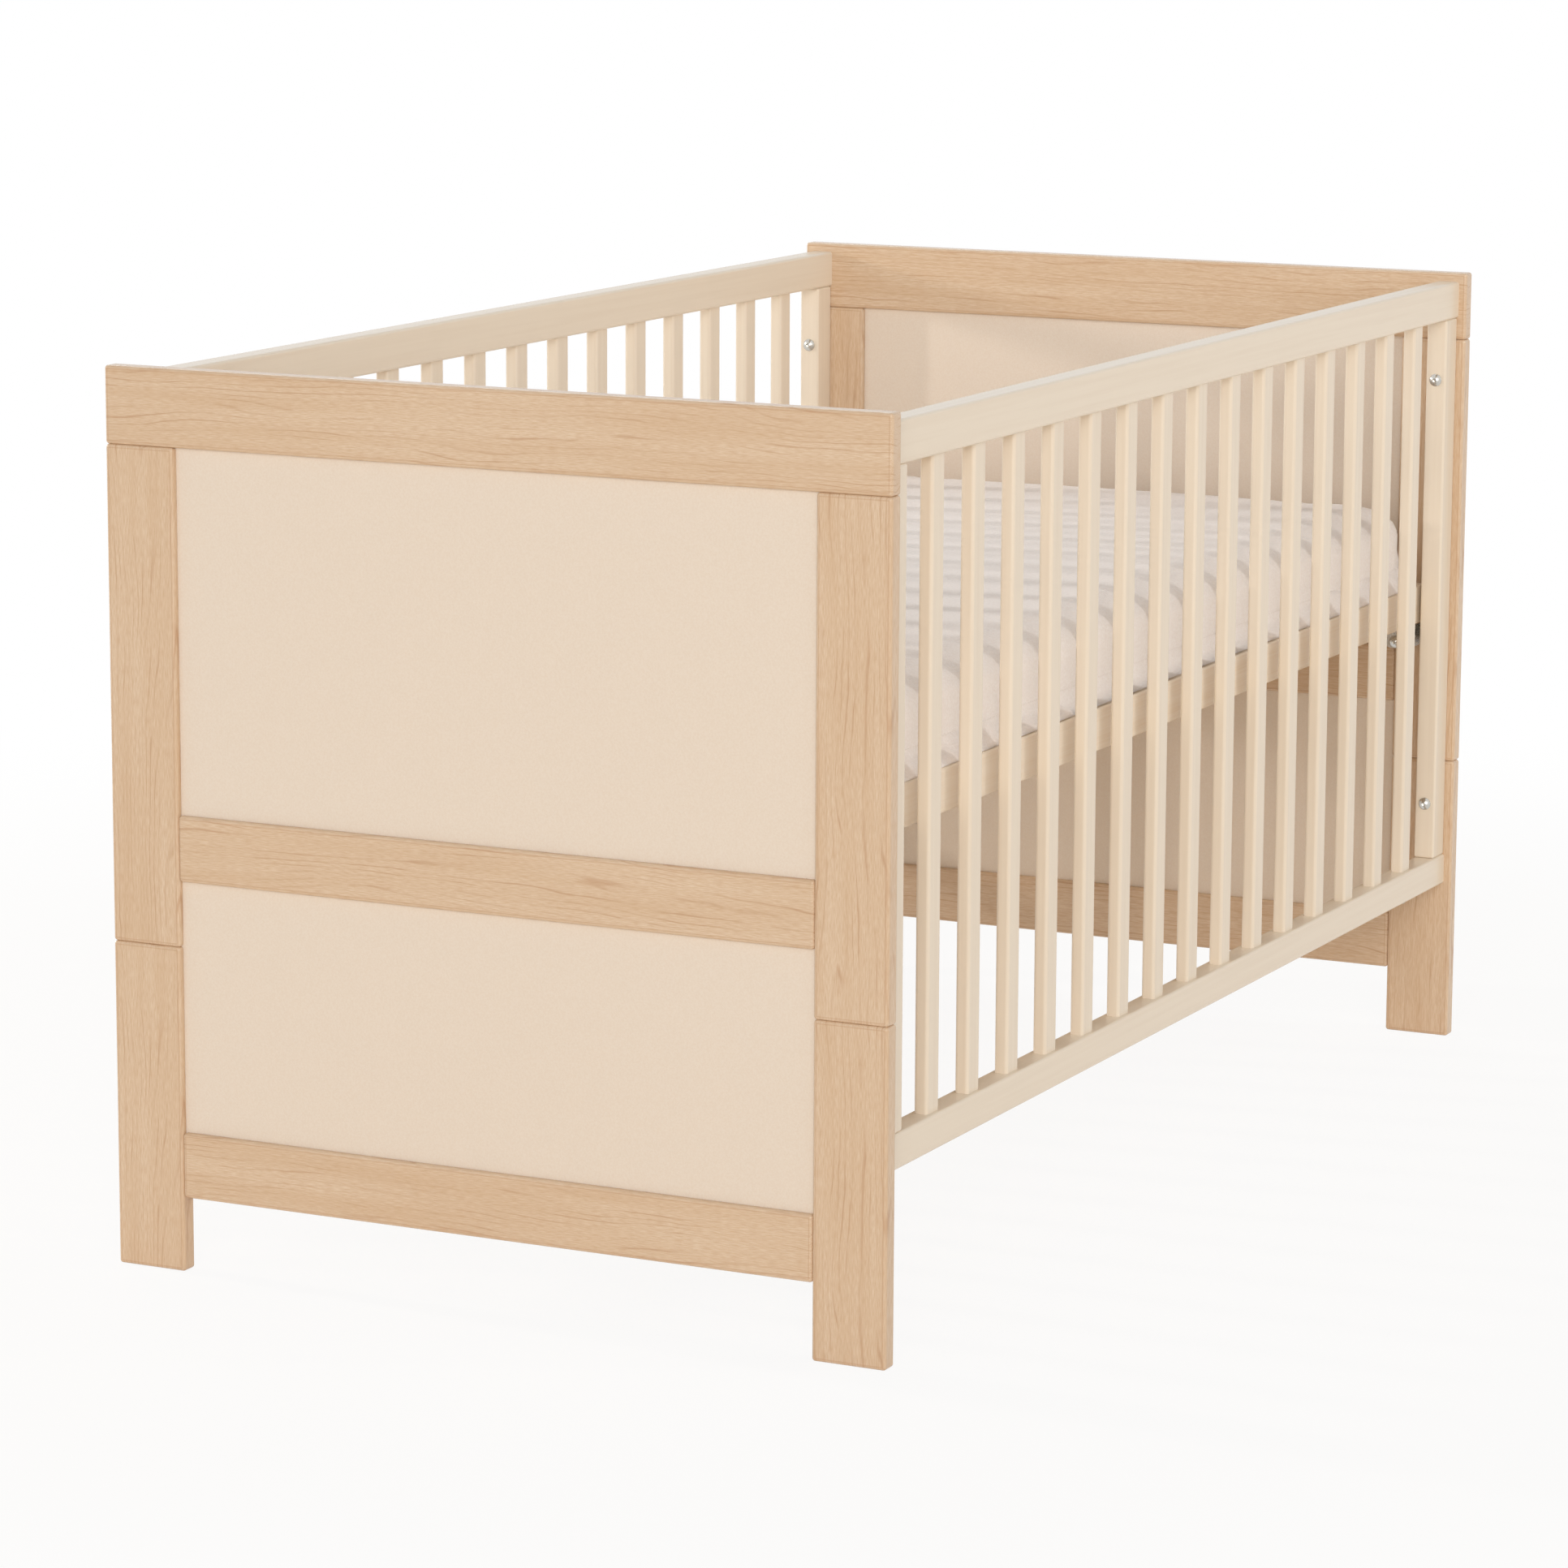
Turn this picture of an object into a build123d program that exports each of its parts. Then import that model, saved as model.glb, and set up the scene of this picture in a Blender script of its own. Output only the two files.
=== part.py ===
import os
from build123d import *

os.makedirs("parts", exist_ok=True)

# Overall size in millimetres. The origin is on the floor at the middle of the crib,
# +X runs to the head end, -Y is the front side and +Z is up.
length = 1440.0
width = 770.0
height = 820.0

# End boards: dowelled frames of square-cut members that hold loose panels in grooves
board_t = 18.0
post_w = 70.0
top_rail_h = 70.0
mid_rail_z = 360.0
mid_rail_h = 60.0
foot_gap = 69.0
bottom_rail_h = 60.0
seam_z = 300.0
edge_r = 3.0
panel_t = 6.0
groove_d = 8.0
groove_clear = 0.2
panel_room = 1.0

# Barred sides that hang between the two end boards
side_inset = 8.0
side_drop = 9.0
side_rail_t = 24.0
side_top_h = 38.0
side_bottom_z = 167.0
side_bottom_h = 32.0
side_edge_r = 3.0
stile_w = 32.0
stile_t = 22.0
stile_edge_r = 2.5
stile_dowel_pitch = 16.0
bar_count = 15
bar_w = 25.0
bar_t = 13.0
bar_r = 3.2
mortise_d = 14.0
fit_clear = 0.1

# Dowels
dowel_d = 8.0
dowel_depth = 18.0
dowel_pitch = 22.0
rail_dowel_pitch = 30.0
post_dowel_shift = 11.0

# Bolts and threaded inserts
bolt_d = 6.0
head_d = 13.0
head_h = 4.6
head_rim = 1.4
socket_af = 4.0
socket_d = 2.4
insert_d = 10.0
insert_depth = 13.0
insert_chamfer = 0.6
bolt_end_gap = 1.0
bolt_clear = 0.25
side_bolt_top_drop = 63.0
side_bolt_low_rise = 59.0

# Height-adjustable mattress base
base_end_gap = 4.0
base_side_gap = 3.0
base_z = 450.0
base_rail_h = 40.0
base_rail_t = 20.0
base_edge_r = 2.0
base_dowel_rise = 20.0
base_dowel_pitch = 12.0
base_dowel_side = 14.0
slat_count = 11
slat_w = 70.0
slat_t = 10.0
slat_bearing = 12.0
slat_r = 2.5
screw_d = 4.0
screw_head_d = 8.0
screw_into_rail = 15.0

# Corner brackets and lock bolts of the base
bracket_t = 2.5
bracket_w = 30.0
bracket_run = 27.5
bracket_leg = 28.0
bracket_drop = 19.0
bracket_clear = 0.8
bracket_edge = 15.0
bracket_bend_r = 2.0
bracket_corner_r = 6.0
bracket_screw_in = 7.5
bracket_screw_len = 11.0
lock_travel = 12.0
seam_to_row = 12.0

# Mattress
mattress_end_gap = 7.0
mattress_side_gap = 6.0
mattress_lift = 0.5
mattress_t = 79.5
mattress_crown = 6.0
mattress_pull_in = 5.0
mattress_corner_r = 45.0
mattress_edge_r = 24.0
mattress_base_r = 4.0

# Values that follow from the ones above
inner_x = length / 2 - board_t
mid_board_x = length / 2 - board_t / 2
post_edge_y = width / 2 - post_w
post_y = width / 2 - post_w / 2
top_rail_z = height - top_rail_h
mid_rail_top = mid_rail_z + mid_rail_h
bottom_rail_top = foot_gap + bottom_rail_h
groove_w = panel_t + 2 * groove_clear
panel_into = groove_d - panel_room
dowel_y = (post_y + post_dowel_shift - dowel_pitch / 2, post_y + post_dowel_shift + dowel_pitch / 2)
bottom_rail_mid = foot_gap + (bottom_rail_h - groove_d) / 2
rail_dowel_z = (bottom_rail_mid - rail_dowel_pitch / 2, bottom_rail_mid + rail_dowel_pitch / 2)

side_y = width / 2 - side_inset - side_rail_t / 2
side_top_z = height - side_drop - side_top_h
side_bottom_top = side_bottom_z + side_bottom_h
stile_x = inner_x - stile_w / 2
bar_pitch = (2 * (inner_x - stile_w) + bar_w) / (bar_count + 1)
side_bolt_z = (side_bottom_top + side_bolt_low_rise, side_top_z - side_bolt_top_drop)

base_x = inner_x - base_end_gap
base_y = width / 2 - side_inset - side_rail_t - base_side_gap
base_top = base_z + base_rail_h
end_rail_x = base_x - base_rail_t / 2
slat_room = 2 * (base_x - base_rail_t)
slat_pitch = (slat_room + slat_w) / (slat_count + 1)
slat_half = base_y - base_rail_t + slat_bearing
slat_screw_y = base_y - base_rail_t + slat_bearing / 2
base_dowel_z = (base_z + base_dowel_rise, base_z + base_dowel_rise + base_dowel_pitch)

lock_z = base_z - bracket_drop
lock_y = post_edge_y + bracket_edge
row_pitch = lock_z - (seam_z - seam_to_row)
lock_rows = (lock_z, lock_z - row_pitch, lock_z - 2 * row_pitch)
bracket_out = inner_x - bracket_clear
bracket_in = bracket_out - bracket_run
lock_head_x = bracket_in - lock_travel
bracket_screw_y = (base_y - base_rail_t / 2, base_y - base_rail_t - bracket_screw_in)


def softened_board(y_a, y_b, z_a, z_b, end):
    """Board blank of an end frame with every edge rounded over, in its place."""
    with BuildPart() as blank:
        with BuildSketch(Plane.YZ.offset(end * mid_board_x)):
            with Locations(((y_a + y_b) / 2, (z_a + z_b) / 2)):
                Rectangle(y_b - y_a, z_b - z_a)
        extrude(amount=board_t / 2, both=True)
        fillet(blank.edges(), edge_r)
    return blank.part


def make_post(end, side, upper):
    """Upper or lower length of a corner post, with its groove and all its bores."""
    z_a = seam_z if upper else 0.0
    z_b = top_rail_z if upper else seam_z
    groove_a = z_a if upper else bottom_rail_top - groove_d
    y_pair = sorted((side * post_edge_y, side * width / 2))
    blank = softened_board(y_pair[0], y_pair[1], z_a, z_b, end)
    with BuildPart() as post:
        add(blank)
        with BuildSketch(Plane.XY.offset(groove_a)):
            with Locations((end * mid_board_x, side * post_edge_y)):
                Rectangle(groove_w, 2 * groove_d)
        extrude(amount=z_b - groove_a, mode=Mode.SUBTRACT)
        for y in dowel_y:
            with Locations(Plane(origin=(end * mid_board_x, side * y, z_b), z_dir=(0, 0, 1))):
                Hole(dowel_d / 2 + fit_clear, dowel_depth)
            if upper:
                with Locations(Plane(origin=(end * mid_board_x, side * y, z_a), z_dir=(0, 0, -1))):
                    Hole(dowel_d / 2 + fit_clear, dowel_depth)
        if not upper:
            for z in rail_dowel_z:
                place = (end * mid_board_x, side * post_edge_y, z)
                with Locations(Plane(origin=place, z_dir=(0, -side, 0))):
                    Hole(dowel_d / 2 + fit_clear, dowel_depth)
        inserts = [(side_y, z) for z in side_bolt_z] + [(lock_y, z) for z in lock_rows]
        for y, z in inserts:
            if z_a < z < z_b:
                with Locations(Plane(origin=(end * inner_x, side * y, z), z_dir=(-end, 0, 0))):
                    Hole(insert_d / 2 + fit_clear, insert_depth)
    return post


def make_top_rail(end):
    """Top rail of an end board: panel groove and dowel bores on its underside."""
    blank = softened_board(-width / 2, width / 2, top_rail_z, height, end)
    with BuildPart() as rail:
        add(blank)
        with BuildSketch(Plane.XY.offset(top_rail_z)):
            with Locations((end * mid_board_x, 0)):
                Rectangle(groove_w, 2 * (post_edge_y + groove_d))
        extrude(amount=groove_d, mode=Mode.SUBTRACT)
        for y in dowel_y:
            for side in (-1, 1):
                with Locations(Plane(origin=(end * mid_board_x, side * y, top_rail_z), z_dir=(0, 0, -1))):
                    Hole(dowel_d / 2 + fit_clear, dowel_depth)
    return rail


def make_mid_rail(end):
    """Middle rail: a groove above and below, and stub tenons that sit in the post grooves."""
    blank = softened_board(-post_edge_y, post_edge_y, mid_rail_z, mid_rail_top, end)
    with BuildPart() as rail:
        add(blank)
        with BuildSketch(Plane.YZ.offset(end * mid_board_x)):
            with Locations((0, mid_rail_z + mid_rail_h / 2)):
                Rectangle(2 * (post_edge_y + groove_d), mid_rail_h - 2 * groove_d)
        extrude(amount=panel_t / 2, both=True)
        for z in (mid_rail_z, mid_rail_top):
            with Locations((end * mid_board_x, 0, z)):
                Box(groove_w, width, 2 * groove_d, mode=Mode.SUBTRACT)
    return rail


def make_bottom_rail(end):
    """Bottom rail: a groove along its top and dowel bores in both ends."""
    blank = softened_board(-post_edge_y, post_edge_y, foot_gap, bottom_rail_top, end)
    with BuildPart() as rail:
        add(blank)
        with Locations((end * mid_board_x, 0, bottom_rail_top)):
            Box(groove_w, width, 2 * groove_d, mode=Mode.SUBTRACT)
        for z in rail_dowel_z:
            for side in (-1, 1):
                with Locations(Plane(origin=(end * mid_board_x, side * post_edge_y, z), z_dir=(0, side, 0))):
                    Hole(dowel_d / 2 + fit_clear, dowel_depth)
    return rail


def make_panel(end, z_low, z_high):
    """Loose panel standing on the floor of the lower groove."""
    with BuildPart() as panel:
        with BuildSketch(Plane.YZ.offset(end * mid_board_x)):
            with Locations((0, (z_low - groove_d + z_high + panel_into) / 2)):
                Rectangle(2 * (post_edge_y + panel_into), z_high + panel_into - z_low + groove_d)
        extrude(amount=panel_t / 2, both=True)
    return panel


def make_end_dowels(end):
    """Dowels of one end board, each as long as its two bores."""
    with BuildPart() as dowels:
        for side in (-1, 1):
            for y in dowel_y:
                for z in (top_rail_z, seam_z):
                    with Locations((end * mid_board_x, side * y, z)):
                        Cylinder(dowel_d / 2, 2 * dowel_depth)
            for z in rail_dowel_z:
                with Locations((end * mid_board_x, side * post_edge_y, z)):
                    Cylinder(dowel_d / 2, 2 * dowel_depth, rotation=(90, 0, 0))
    return dowels


def make_side_rail(side, z_low, rail_h, up):
    """Long rail of a barred side with blind mortises for the bars and dowel bores for the stiles."""
    z_face = z_low if up else z_low + rail_h
    depth = 1 if up else -1
    with BuildPart() as rail:
        with BuildSketch(Plane.YZ):
            with Locations((side * side_y, z_low + rail_h / 2)):
                RectangleRounded(side_rail_t, rail_h, side_edge_r)
        extrude(amount=inner_x, both=True)
        with BuildSketch(Plane.XY.offset(z_face)):
            with Locations((0, side * side_y)):
                with GridLocations(bar_pitch, bar_pitch, bar_count, 1):
                    RectangleRounded(bar_w + 2 * fit_clear, bar_t + 2 * fit_clear, bar_r + fit_clear)
        extrude(amount=depth * mortise_d, mode=Mode.SUBTRACT)
        for end in (-1, 1):
            with Locations(Plane(origin=(end * stile_x, side * side_y, z_face), z_dir=(0, 0, -depth))):
                with GridLocations(stile_dowel_pitch, stile_dowel_pitch, 2, 1):
                    Hole(dowel_d / 2 + fit_clear, dowel_depth)
    return rail


def make_bars(side):
    """Flat bars with rounded-over edges, their ends housed in the rails."""
    with BuildPart() as bars:
        with BuildSketch(Plane.XY.offset(side_bottom_top - mortise_d)):
            with Locations((0, side * side_y)):
                with GridLocations(bar_pitch, bar_pitch, bar_count, 1):
                    RectangleRounded(bar_w, bar_t, bar_r)
        extrude(amount=side_top_z - side_bottom_top + 2 * mortise_d)
    return bars


def make_stile(side, end):
    """End stile of a barred side: dowelled to the rails and bored for two bolts."""
    with BuildPart() as stile:
        with BuildSketch(Plane.XY.offset(side_bottom_top)):
            with Locations((end * stile_x, side * side_y)):
                Rectangle(stile_w, stile_t)
        extrude(amount=side_top_z - side_bottom_top)
        fillet(stile.edges(), stile_edge_r)
        for z, up in ((side_bottom_top, -1), (side_top_z, 1)):
            with Locations(Plane(origin=(end * stile_x, side * side_y, z), z_dir=(0, 0, up))):
                with GridLocations(stile_dowel_pitch, stile_dowel_pitch, 2, 1):
                    Hole(dowel_d / 2 + fit_clear, dowel_depth)
        for z in side_bolt_z:
            with Locations(Plane(origin=(end * (inner_x - stile_w), side * side_y, z), z_dir=(-end, 0, 0))):
                Hole(bolt_d / 2 + bolt_clear, stile_w)
    return stile


def make_bolt(shank):
    """Dome-head bolt with a hexagon socket, its head's seat at the origin and its shank along -Z."""
    dome_h = head_h - head_rim
    dome_r = (head_d ** 2 / 4 + dome_h ** 2) / (2 * dome_h)
    half_way = (head_d / 4, head_h - dome_r + (dome_r ** 2 - head_d ** 2 / 16) ** 0.5)
    with BuildPart() as bolt:
        with BuildSketch(Plane.XZ):
            with BuildLine():
                Polyline((0, head_h), (0, -shank), (bolt_d / 2, -shank), (bolt_d / 2, 0), (head_d / 2, 0),
                         (head_d / 2, head_rim))
                ThreePointArc((head_d / 2, head_rim), half_way, (0, head_h))
            make_face()
        revolve(axis=Axis.Z)
        with BuildSketch(Plane.XY.offset(head_h)):
            RegularPolygon(socket_af / 2, 6, major_radius=False)
        extrude(amount=-socket_d, mode=Mode.SUBTRACT)
    return bolt.part


def make_insert(depth):
    """Threaded insert with its mouth at the origin, running along -Z."""
    with BuildPart() as insert:
        with BuildSketch(Plane.XY):
            Circle(insert_d / 2)
            Circle(bolt_d / 2 + bolt_clear, mode=Mode.SUBTRACT)
        extrude(amount=-depth)
        chamfer(insert.faces().sort_by(Axis.Z)[-1].edges().sort_by(SortBy.LENGTH)[0], insert_chamfer)
    return insert.part


def make_screw(shank):
    """Countersunk wood screw with its head flush at the origin, pointing along -Z."""
    sink = (screw_head_d - screw_d) / 2
    with BuildPart() as screw:
        with BuildSketch(Plane.XZ):
            with BuildLine():
                Polyline((0, 0), (screw_head_d / 2, 0), (screw_d / 2, -sink),
                         (screw_d / 2, -shank + screw_d), (0, -shank), (0, 0))
            make_face()
        revolve(axis=Axis.Z)
    return screw.part


# End boards
for end, end_name in ((-1, "foot"), (1, "head")):
    end_pieces = {
        "top_rail": make_top_rail(end),
        "mid_rail": make_mid_rail(end),
        "bottom_rail": make_bottom_rail(end),
        "upper_panel": make_panel(end, mid_rail_top, top_rail_z),
        "lower_panel": make_panel(end, bottom_rail_top, mid_rail_z),
        "front_upper_post": make_post(end, -1, True),
        "front_lower_post": make_post(end, -1, False),
        "rear_upper_post": make_post(end, 1, True),
        "rear_lower_post": make_post(end, 1, False),
        "dowels": make_end_dowels(end),
    }
    for piece_name, piece in end_pieces.items():
        piece.part.label = f"{end_name}_{piece_name}"
        export_step(piece.part, f"parts/{end_name}_{piece_name}.step")

# Barred sides
for side, side_name in ((-1, "front"), (1, "rear")):
    side_pieces = {
        "top_rail": make_side_rail(side, side_top_z, side_top_h, True),
        "bottom_rail": make_side_rail(side, side_bottom_z, side_bottom_h, False),
        "foot_stile": make_stile(side, -1),
        "head_stile": make_stile(side, 1),
        "bars": make_bars(side),
    }
    for piece_name, piece in side_pieces.items():
        piece.part.label = f"{side_name}_{piece_name}"
        export_step(piece.part, f"parts/{side_name}_{piece_name}.step")

# Dowels between the rails and stiles of the sides
with BuildPart() as side_dowels:
    for side in (-1, 1):
        for end in (-1, 1):
            for z in (side_bottom_top, side_top_z):
                with Locations((end * stile_x, side * side_y, z)):
                    with GridLocations(stile_dowel_pitch, stile_dowel_pitch, 2, 1):
                        Cylinder(dowel_d / 2, 2 * dowel_depth)
side_dowels.part.label = "side_dowels"
export_step(side_dowels.part, "parts/side_dowels.step")

# Bolts that clamp the sides to the end boards, and the inserts they screw into
side_bolt = make_bolt(stile_w + insert_depth - bolt_end_gap)
side_bolt_places = [
    Plane(origin=(end * (inner_x - stile_w), side * side_y, z), x_dir=(0, 1, 0), z_dir=(-end, 0, 0))
    for end in (-1, 1)
    for side in (-1, 1)
    for z in side_bolt_z
]
with BuildPart() as side_bolts:
    with Locations(*side_bolt_places):
        add(side_bolt)
side_bolts.part.label = "side_bolts"
export_step(side_bolts.part, "parts/side_bolts.step")

insert = make_insert(insert_depth)
side_insert_places = [
    Plane(origin=(end * inner_x, side * side_y, z), x_dir=(0, 1, 0), z_dir=(-end, 0, 0))
    for end in (-1, 1)
    for side in (-1, 1)
    for z in side_bolt_z
]
with BuildPart() as side_inserts:
    with Locations(*side_insert_places):
        add(insert)
side_inserts.part.label = "side_inserts"
export_step(side_inserts.part, "parts/side_inserts.step")

height_insert_places = [
    Plane(origin=(end * inner_x, side * lock_y, z), x_dir=(0, 1, 0), z_dir=(-end, 0, 0))
    for end in (-1, 1)
    for side in (-1, 1)
    for z in lock_rows
]
with BuildPart() as height_inserts:
    with Locations(*height_insert_places):
        add(insert)
height_inserts.part.label = "height_inserts"
export_step(height_inserts.part, "parts/height_inserts.step")


def make_base_rail(side):
    """Long rail of the mattress base with a stopped rebate for the slats and its bores."""
    with BuildPart() as rail:
        with BuildSketch(Plane.YZ):
            with Locations((side * (base_y - base_rail_t / 2), base_z + base_rail_h / 2)):
                RectangleRounded(base_rail_t, base_rail_h, base_edge_r)
        extrude(amount=base_x, both=True)
        with Locations((0, side * (base_y - base_rail_t), base_top)):
            Box(slat_room, 2 * slat_bearing, 2 * slat_t, mode=Mode.SUBTRACT)
        with Locations(Plane(origin=(0, side * slat_screw_y, base_top - slat_t), z_dir=(0, 0, 1))):
            with GridLocations(slat_pitch, slat_pitch, slat_count, 1):
                Hole(screw_d / 2 + fit_clear, screw_into_rail)
        for end in (-1, 1):
            for z in base_dowel_z:
                place = (end * end_rail_x, side * (base_y - base_rail_t), z)
                with Locations(Plane(origin=place, z_dir=(0, -side, 0))):
                    Hole(dowel_d / 2 + fit_clear, base_dowel_side)
            place = (end * end_rail_x, side * (base_y - base_rail_t / 2), base_z)
            with Locations(Plane(origin=place, z_dir=(0, 0, -1))):
                Hole(screw_d / 2 + fit_clear, bracket_screw_len - bracket_t)
    return rail


def make_base_end_rail(end):
    """Cross rail of the mattress base, dowelled between the long rails."""
    half = base_y - base_rail_t
    with BuildPart() as rail:
        with BuildSketch(Plane.XZ):
            with Locations((end * end_rail_x, base_z + base_rail_h / 2)):
                RectangleRounded(base_rail_t, base_rail_h, base_edge_r)
        extrude(amount=half, both=True)
        for side in (-1, 1):
            for z in base_dowel_z:
                with Locations(Plane(origin=(end * end_rail_x, side * half, z), z_dir=(0, side, 0))):
                    Hole(dowel_d / 2 + fit_clear, dowel_depth)
            place = (end * end_rail_x, side * (half - bracket_screw_in), base_z)
            with Locations(Plane(origin=place, z_dir=(0, 0, -1))):
                Hole(screw_d / 2 + fit_clear, bracket_screw_len - bracket_t)
    return rail


# Mattress base
base_pieces = {
    "front_rail": make_base_rail(-1),
    "rear_rail": make_base_rail(1),
    "foot_rail": make_base_end_rail(-1),
    "head_rail": make_base_end_rail(1),
}
for piece_name, piece in base_pieces.items():
    piece.part.label = f"base_{piece_name}"
    export_step(piece.part, f"parts/base_{piece_name}.step")

with BuildPart() as base_slats:
    with BuildSketch(Plane.XZ):
        with Locations((0, base_top - slat_t / 2)):
            with GridLocations(slat_pitch, slat_pitch, slat_count, 1):
                RectangleRounded(slat_w, slat_t, slat_r)
    extrude(amount=slat_half - fit_clear, both=True)
    for side in (-1, 1):
        with Locations(Plane(origin=(0, side * slat_screw_y, base_top), z_dir=(0, 0, 1))):
            with GridLocations(slat_pitch, slat_pitch, slat_count, 1):
                CounterSinkHole(screw_d / 2 + fit_clear, screw_head_d / 2 + fit_clear, slat_t)
base_slats.part.label = "base_slats"
export_step(base_slats.part, "parts/base_slats.step")

slat_screw = make_screw(slat_t + screw_into_rail)
with BuildPart() as slat_screws:
    for side in (-1, 1):
        with Locations(Plane(origin=(0, side * slat_screw_y, base_top), z_dir=(0, 0, 1))):
            with GridLocations(slat_pitch, slat_pitch, slat_count, 1):
                add(slat_screw)
slat_screws.part.label = "slat_screws"
export_step(slat_screws.part, "parts/slat_screws.step")

with BuildPart() as base_dowels:
    for side in (-1, 1):
        for end in (-1, 1):
            for z in base_dowel_z:
                place = (end * end_rail_x, side * (base_y - base_rail_t + base_dowel_side), z)
                with Locations(Plane(origin=place, z_dir=(0, -side, 0))):
                    seat = (Align.CENTER, Align.CENTER, Align.MIN)
                    Cylinder(dowel_d / 2, base_dowel_side + dowel_depth, align=seat)
base_dowels.part.label = "base_dowels"
export_step(base_dowels.part, "parts/base_dowels.step")


def make_bracket(side, end):
    """Steel channel under a corner of the base: a screwed web and two bored legs."""
    web_x = (bracket_in + bracket_out) / 2
    with BuildPart() as bracket:
        with BuildSketch(Plane.XZ.offset(-side * lock_y)):
            with Locations((end * web_x, base_z - bracket_leg / 2)):
                Rectangle(bracket_run, bracket_leg)
            with Locations((end * web_x, base_z - bracket_leg / 2 - bracket_t)):
                Rectangle(bracket_run - 2 * bracket_t, bracket_leg, mode=Mode.SUBTRACT)
        extrude(amount=bracket_w / 2, both=True)
        fillet(bracket.edges().filter_by(Axis.Y).group_by(Axis.Z)[-1], bracket_bend_r)
        lower = bracket.edges().filter_by(Axis.X).group_by(Axis.Z)[0]
        fillet(lower, bracket_corner_r)
        with Locations(Plane(origin=(end * bracket_in, side * lock_y, lock_z), z_dir=(-end, 0, 0))):
            Hole(bolt_d / 2 + bolt_clear, bracket_run)
        for y in bracket_screw_y:
            with Locations(Plane(origin=(end * end_rail_x, side * y, base_z - bracket_t), z_dir=(0, 0, -1))):
                CounterSinkHole(screw_d / 2 + fit_clear, screw_head_d / 2 + fit_clear, bracket_t)
    return bracket


# Corner brackets of the base with their screws and lock bolts
for end, end_name in ((-1, "foot"), (1, "head")):
    for side, side_name in ((-1, "front"), (1, "rear")):
        bracket = make_bracket(side, end)
        bracket.part.label = f"bracket_{end_name}_{side_name}"
        export_step(bracket.part, f"parts/bracket_{end_name}_{side_name}.step")

bracket_screw = make_screw(bracket_screw_len)
bracket_screw_places = [
    Plane(origin=(end * end_rail_x, side * y, base_z - bracket_t), x_dir=(1, 0, 0), z_dir=(0, 0, -1))
    for end in (-1, 1)
    for side in (-1, 1)
    for y in bracket_screw_y
]
with BuildPart() as bracket_screws:
    with Locations(*bracket_screw_places):
        add(bracket_screw)
bracket_screws.part.label = "bracket_screws"
export_step(bracket_screws.part, "parts/bracket_screws.step")

lock_bolt = make_bolt(lock_travel + bracket_run)
lock_bolt_places = [
    Plane(origin=(end * lock_head_x, side * lock_y, lock_z), x_dir=(0, 1, 0), z_dir=(-end, 0, 0))
    for end in (-1, 1)
    for side in (-1, 1)
]
with BuildPart() as lock_bolts:
    with Locations(*lock_bolt_places):
        add(lock_bolt)
lock_bolts.part.label = "lock_bolts"
export_step(lock_bolts.part, "parts/lock_bolts.step")

# Mattress: a crowned pad whose sides draw in between its corners
pad_x = inner_x - mattress_end_gap
pad_y = width / 2 - side_inset - side_rail_t - mattress_side_gap
pad_z = base_top + mattress_lift
pad_top = pad_z + mattress_t
with BuildPart() as mattress:
    with BuildSketch(Plane.XY.offset(pad_z)):
        with BuildLine():
            ThreePointArc((-pad_x, -pad_y), (0, -pad_y + mattress_pull_in), (pad_x, -pad_y))
            ThreePointArc((pad_x, -pad_y), (pad_x - mattress_pull_in, 0), (pad_x, pad_y))
            ThreePointArc((pad_x, pad_y), (0, pad_y - mattress_pull_in), (-pad_x, pad_y))
            ThreePointArc((-pad_x, pad_y), (-pad_x + mattress_pull_in, 0), (-pad_x, -pad_y))
        make_face()
    extrude(amount=mattress_t + mattress_crown)
    fillet(mattress.edges().filter_by(Axis.Z), mattress_corner_r)
    with BuildSketch(Plane.YZ):
        with BuildLine():
            ThreePointArc((-pad_y, pad_top), (0, pad_top + mattress_crown), (pad_y, pad_top))
            Polyline((pad_y, pad_top), (pad_y, pad_z), (-pad_y, pad_z), (-pad_y, pad_top))
        make_face()
    extrude(amount=length, both=True, mode=Mode.INTERSECT)
    fillet(mattress.faces().sort_by(Axis.Z)[-1].edges(), mattress_edge_r)
    fillet(mattress.faces().sort_by(Axis.Z)[0].edges(), mattress_base_r)
mattress.part.label = "mattress"
export_step(mattress.part, "parts/mattress.step")
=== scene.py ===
import math

import bmesh
import bpy
from bpy.props import FloatProperty, FloatVectorProperty, IntProperty, PointerProperty
from mathutils import Matrix, Vector, noise
from mathutils.bvhtree import BVHTree


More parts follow.
